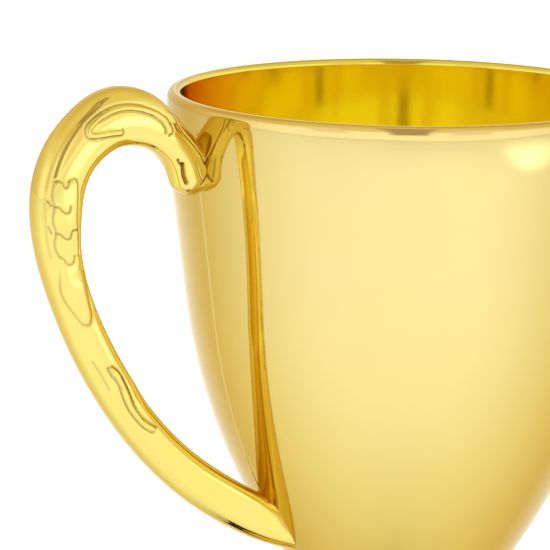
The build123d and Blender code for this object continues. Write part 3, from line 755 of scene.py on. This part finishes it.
# ----------------------------------------------------------------- floor, light and camera
def floor_material():
    mat, nt, b = node_material("pale_floor")
    n = noise(nt, 3.0, 2.0, 0.5, object_coords(nt))
    nt.links.new(mix_colour(nt, n.outputs["Fac"], (0.60, 0.60, 0.595), (0.62, 0.62, 0.615)), b.inputs["Base Color"])
    b.inputs["Roughness"].default_value = 0.6
    b.inputs["Specular IOR Level"].default_value = 0.2
    return mat


bottom = min(v.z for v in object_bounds())
me = bpy.data.meshes.new("floor")
E = 6.0
me.from_pydata([(-E, -E, bottom), (E, -E, bottom), (E, E, bottom), (-E, E, bottom)], [], [(0, 1, 2, 3)])
floor_ob = bpy.data.objects.new("floor", me)
scene.collection.objects.link(floor_ob)
me.materials.append(floor_material())
floor_ob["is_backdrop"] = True

world = bpy.data.worlds.new("studio")
scene.world = world
world.use_nodes = True
wn = world.node_tree
bg = wn.nodes["Background"]
sky = wn.nodes.new("ShaderNodeTexCoord")
sep = wn.nodes.new("ShaderNodeSeparateXYZ")
wn.links.new(sky.outputs["Generated"], sep.inputs["Vector"])


def dot(direction):
    n = wn.nodes.new("ShaderNodeVectorMath")
    n.operation = "DOT_PRODUCT"
    n.inputs[1].default_value = direction
    wn.links.new(sky.outputs["Generated"], n.inputs[0])
    return n.outputs["Value"]


def soft(value, a, b):
    """0 below a, 1 above b, smooth between; b may be less than a."""
    m = wn.nodes.new("ShaderNodeMapRange")
    m.interpolation_type = "SMOOTHSTEP"
    lo, hi, flip = (a, b, False) if a < b else (b, a, True)
    m.inputs["From Min"].default_value = lo
    m.inputs["From Max"].default_value = hi
    m.inputs["To Min"].default_value = 1.0 if flip else 0.0
    m.inputs["To Max"].default_value = 0.0 if flip else 1.0
    wn.links.new(value, m.inputs["Value"])
    return m.outputs["Result"]


def product(*values):
    out = values[0]
    for v in values[1:]:
        m = wn.nodes.new("ShaderNodeMath")
        m.operation = "MULTIPLY"
        wn.links.new(out, m.inputs[0])
        wn.links.new(v, m.inputs[1])
        out = m.outputs[0]
    return out


def over(colour_socket, mask, colour):
    m = wn.nodes.new("ShaderNodeMix")
    m.data_type = "RGBA"
    wn.links.new(mask, m.inputs[0])
    wn.links.new(colour_socket, m.inputs[6])
    m.inputs[7].default_value = (*colour, 1)
    return m.outputs[2]


# a bright tent with a warmer, dimmer roof and a narrow dark panel overhead
tent = mix_colour(wn, soft(sep.outputs["Z"], 0.22, 0.72), (1.04, 1.0, 0.90), (0.79, 0.66, 0.37))
behind = product(soft(dot((0.131, 0.977, 0.0)), 0.05, 0.65), soft(sep.outputs["Z"], 0.52, 0.26))
tent = over(tent, behind, (0.90, 0.80, 0.66))
low = product(soft(dot((-0.545, -0.839, 0.0)), 0.2, 0.4), soft(sep.outputs["Z"], 0.03, 0.09), soft(sep.outputs["Z"], 0.80, 0.60))
gap = product(soft(dot((-0.545, -0.839, 0.0)), 0.05, 0.12), soft(sep.outputs["Z"], 0.03, 0.09), soft(dot((0.859, -0.512, 0.0)), 0.20, 0.12), soft(dot((-0.859, 0.512, 0.0)), 0.20, 0.10))
right_pane = product(low, soft(dot((0.859, -0.512, 0.0)), 0.30, 0.38), soft(dot((0.859, -0.512, 0.0)), 0.66, 0.58))
left_pane = product(low, soft(dot((-0.859, 0.512, 0.0)), 0.44, 0.50), soft(dot((-0.859, 0.512, 0.0)), 0.74, 0.68))
tent = over(tent, right_pane, (0.90, 0.76, 0.62))
tent = over(tent, left_pane, (0.90, 0.76, 0.62))
tent = over(tent, gap, (0.46, 0.34, 0.22))
wn.links.new(tent, bg.inputs["Color"])
bg.inputs["Strength"].default_value = 1.0


def area(name, loc, target, size, power, spread=180.0, colour=(1, 1, 1)):
    light = bpy.data.lights.new(name, "AREA")
    light.shape = "RECTANGLE"
    light.size, light.size_y = size
    light.energy = power
    light.spread = math.radians(spread)
    light.color = colour
    ob = bpy.data.objects.new(name, light)
    ob.location = loc
    ob.rotation_mode = "QUATERNION"
    ob.rotation_quaternion = (Vector(target) - Vector(loc)).to_track_quat("-Z", "Y")
    scene.collection.objects.link(ob)
    ob.visible_glossy = False
    ob.visible_camera = False
    return ob


FRONT = Vector((-0.545, -0.839, 0))
RIGHT = Vector((0.859, -0.512, 0))


def around(angle, dist, height):
    """A place round the cup: angle 0 is the camera's side, +90 its right."""
    a = math.radians(angle)
    p = (FRONT * math.cos(a) + RIGHT * math.sin(a)).normalized() * dist
    return (p.x, p.y, height)


COOL = (0.84, 0.92, 1.0)
area("top", (0.0, 0.0, 3.0), (0.0, 0.0, 0.0), (12.0, 12.0), 570, 180, (0.75, 0.84, 1.0))
area("front", around(20, 1.3, 1.5), around(14, 0.75, 0.0), (0.8, 0.6), 1.2, 80, COOL)
# a soft patch of light far out on the floor, to the front right
spot_data = bpy.data.lights.new("pool", "SPOT")
spot_data.energy = 340
spot_data.spot_size = math.radians(35)
spot_data.spot_blend = 1.0
spot_data.shadow_soft_size = 0.05
spot_data.color = COOL
spot = bpy.data.objects.new("pool", spot_data)
spot.location = (0.0, 0.0, 0.6)
spot.rotation_mode = "QUATERNION"
spot.rotation_quaternion = Vector((0.475, -0.88, -0.27)).to_track_quat("-Z", "Y")
scene.collection.objects.link(spot)
spot.visible_glossy = False
spot.visible_camera = False
area("back", around(180, 1.7, 1.6), around(180, 1.2, 0.0), (0.5, 1.3), 4, 60, COOL)

cam_data = bpy.data.cameras.new("camera")
cam = bpy.data.objects.new("camera", cam_data)
scene.collection.objects.link(cam)
scene.camera = cam
cam_data.sensor_width = 36.0
cam_data.lens = 3623.76 / 550 * 36.0
right = Vector((0.8587741, -0.5122026, 0.0124722)).normalized()
up = Vector((0.0901222, 0.1749753, 0.9804395)).normalized()
back = Vector((-0.5043660, -0.8408521, 0.1964251)).normalized()
rot = Matrix((right, up, back)).transposed().to_4x4()
cam.matrix_world = Matrix.Translation(Vector((-0.4310622, -0.6637776, 0.3485535))) @ rot
cam_data.clip_start, cam_data.clip_end = 0.01, 100

scene.view_settings.view_transform = "Standard"
scene.view_settings.look = "None"
try:
    scene.cycles.max_bounces = 16
    scene.cycles.glossy_bounces = 14
except AttributeError:
    pass
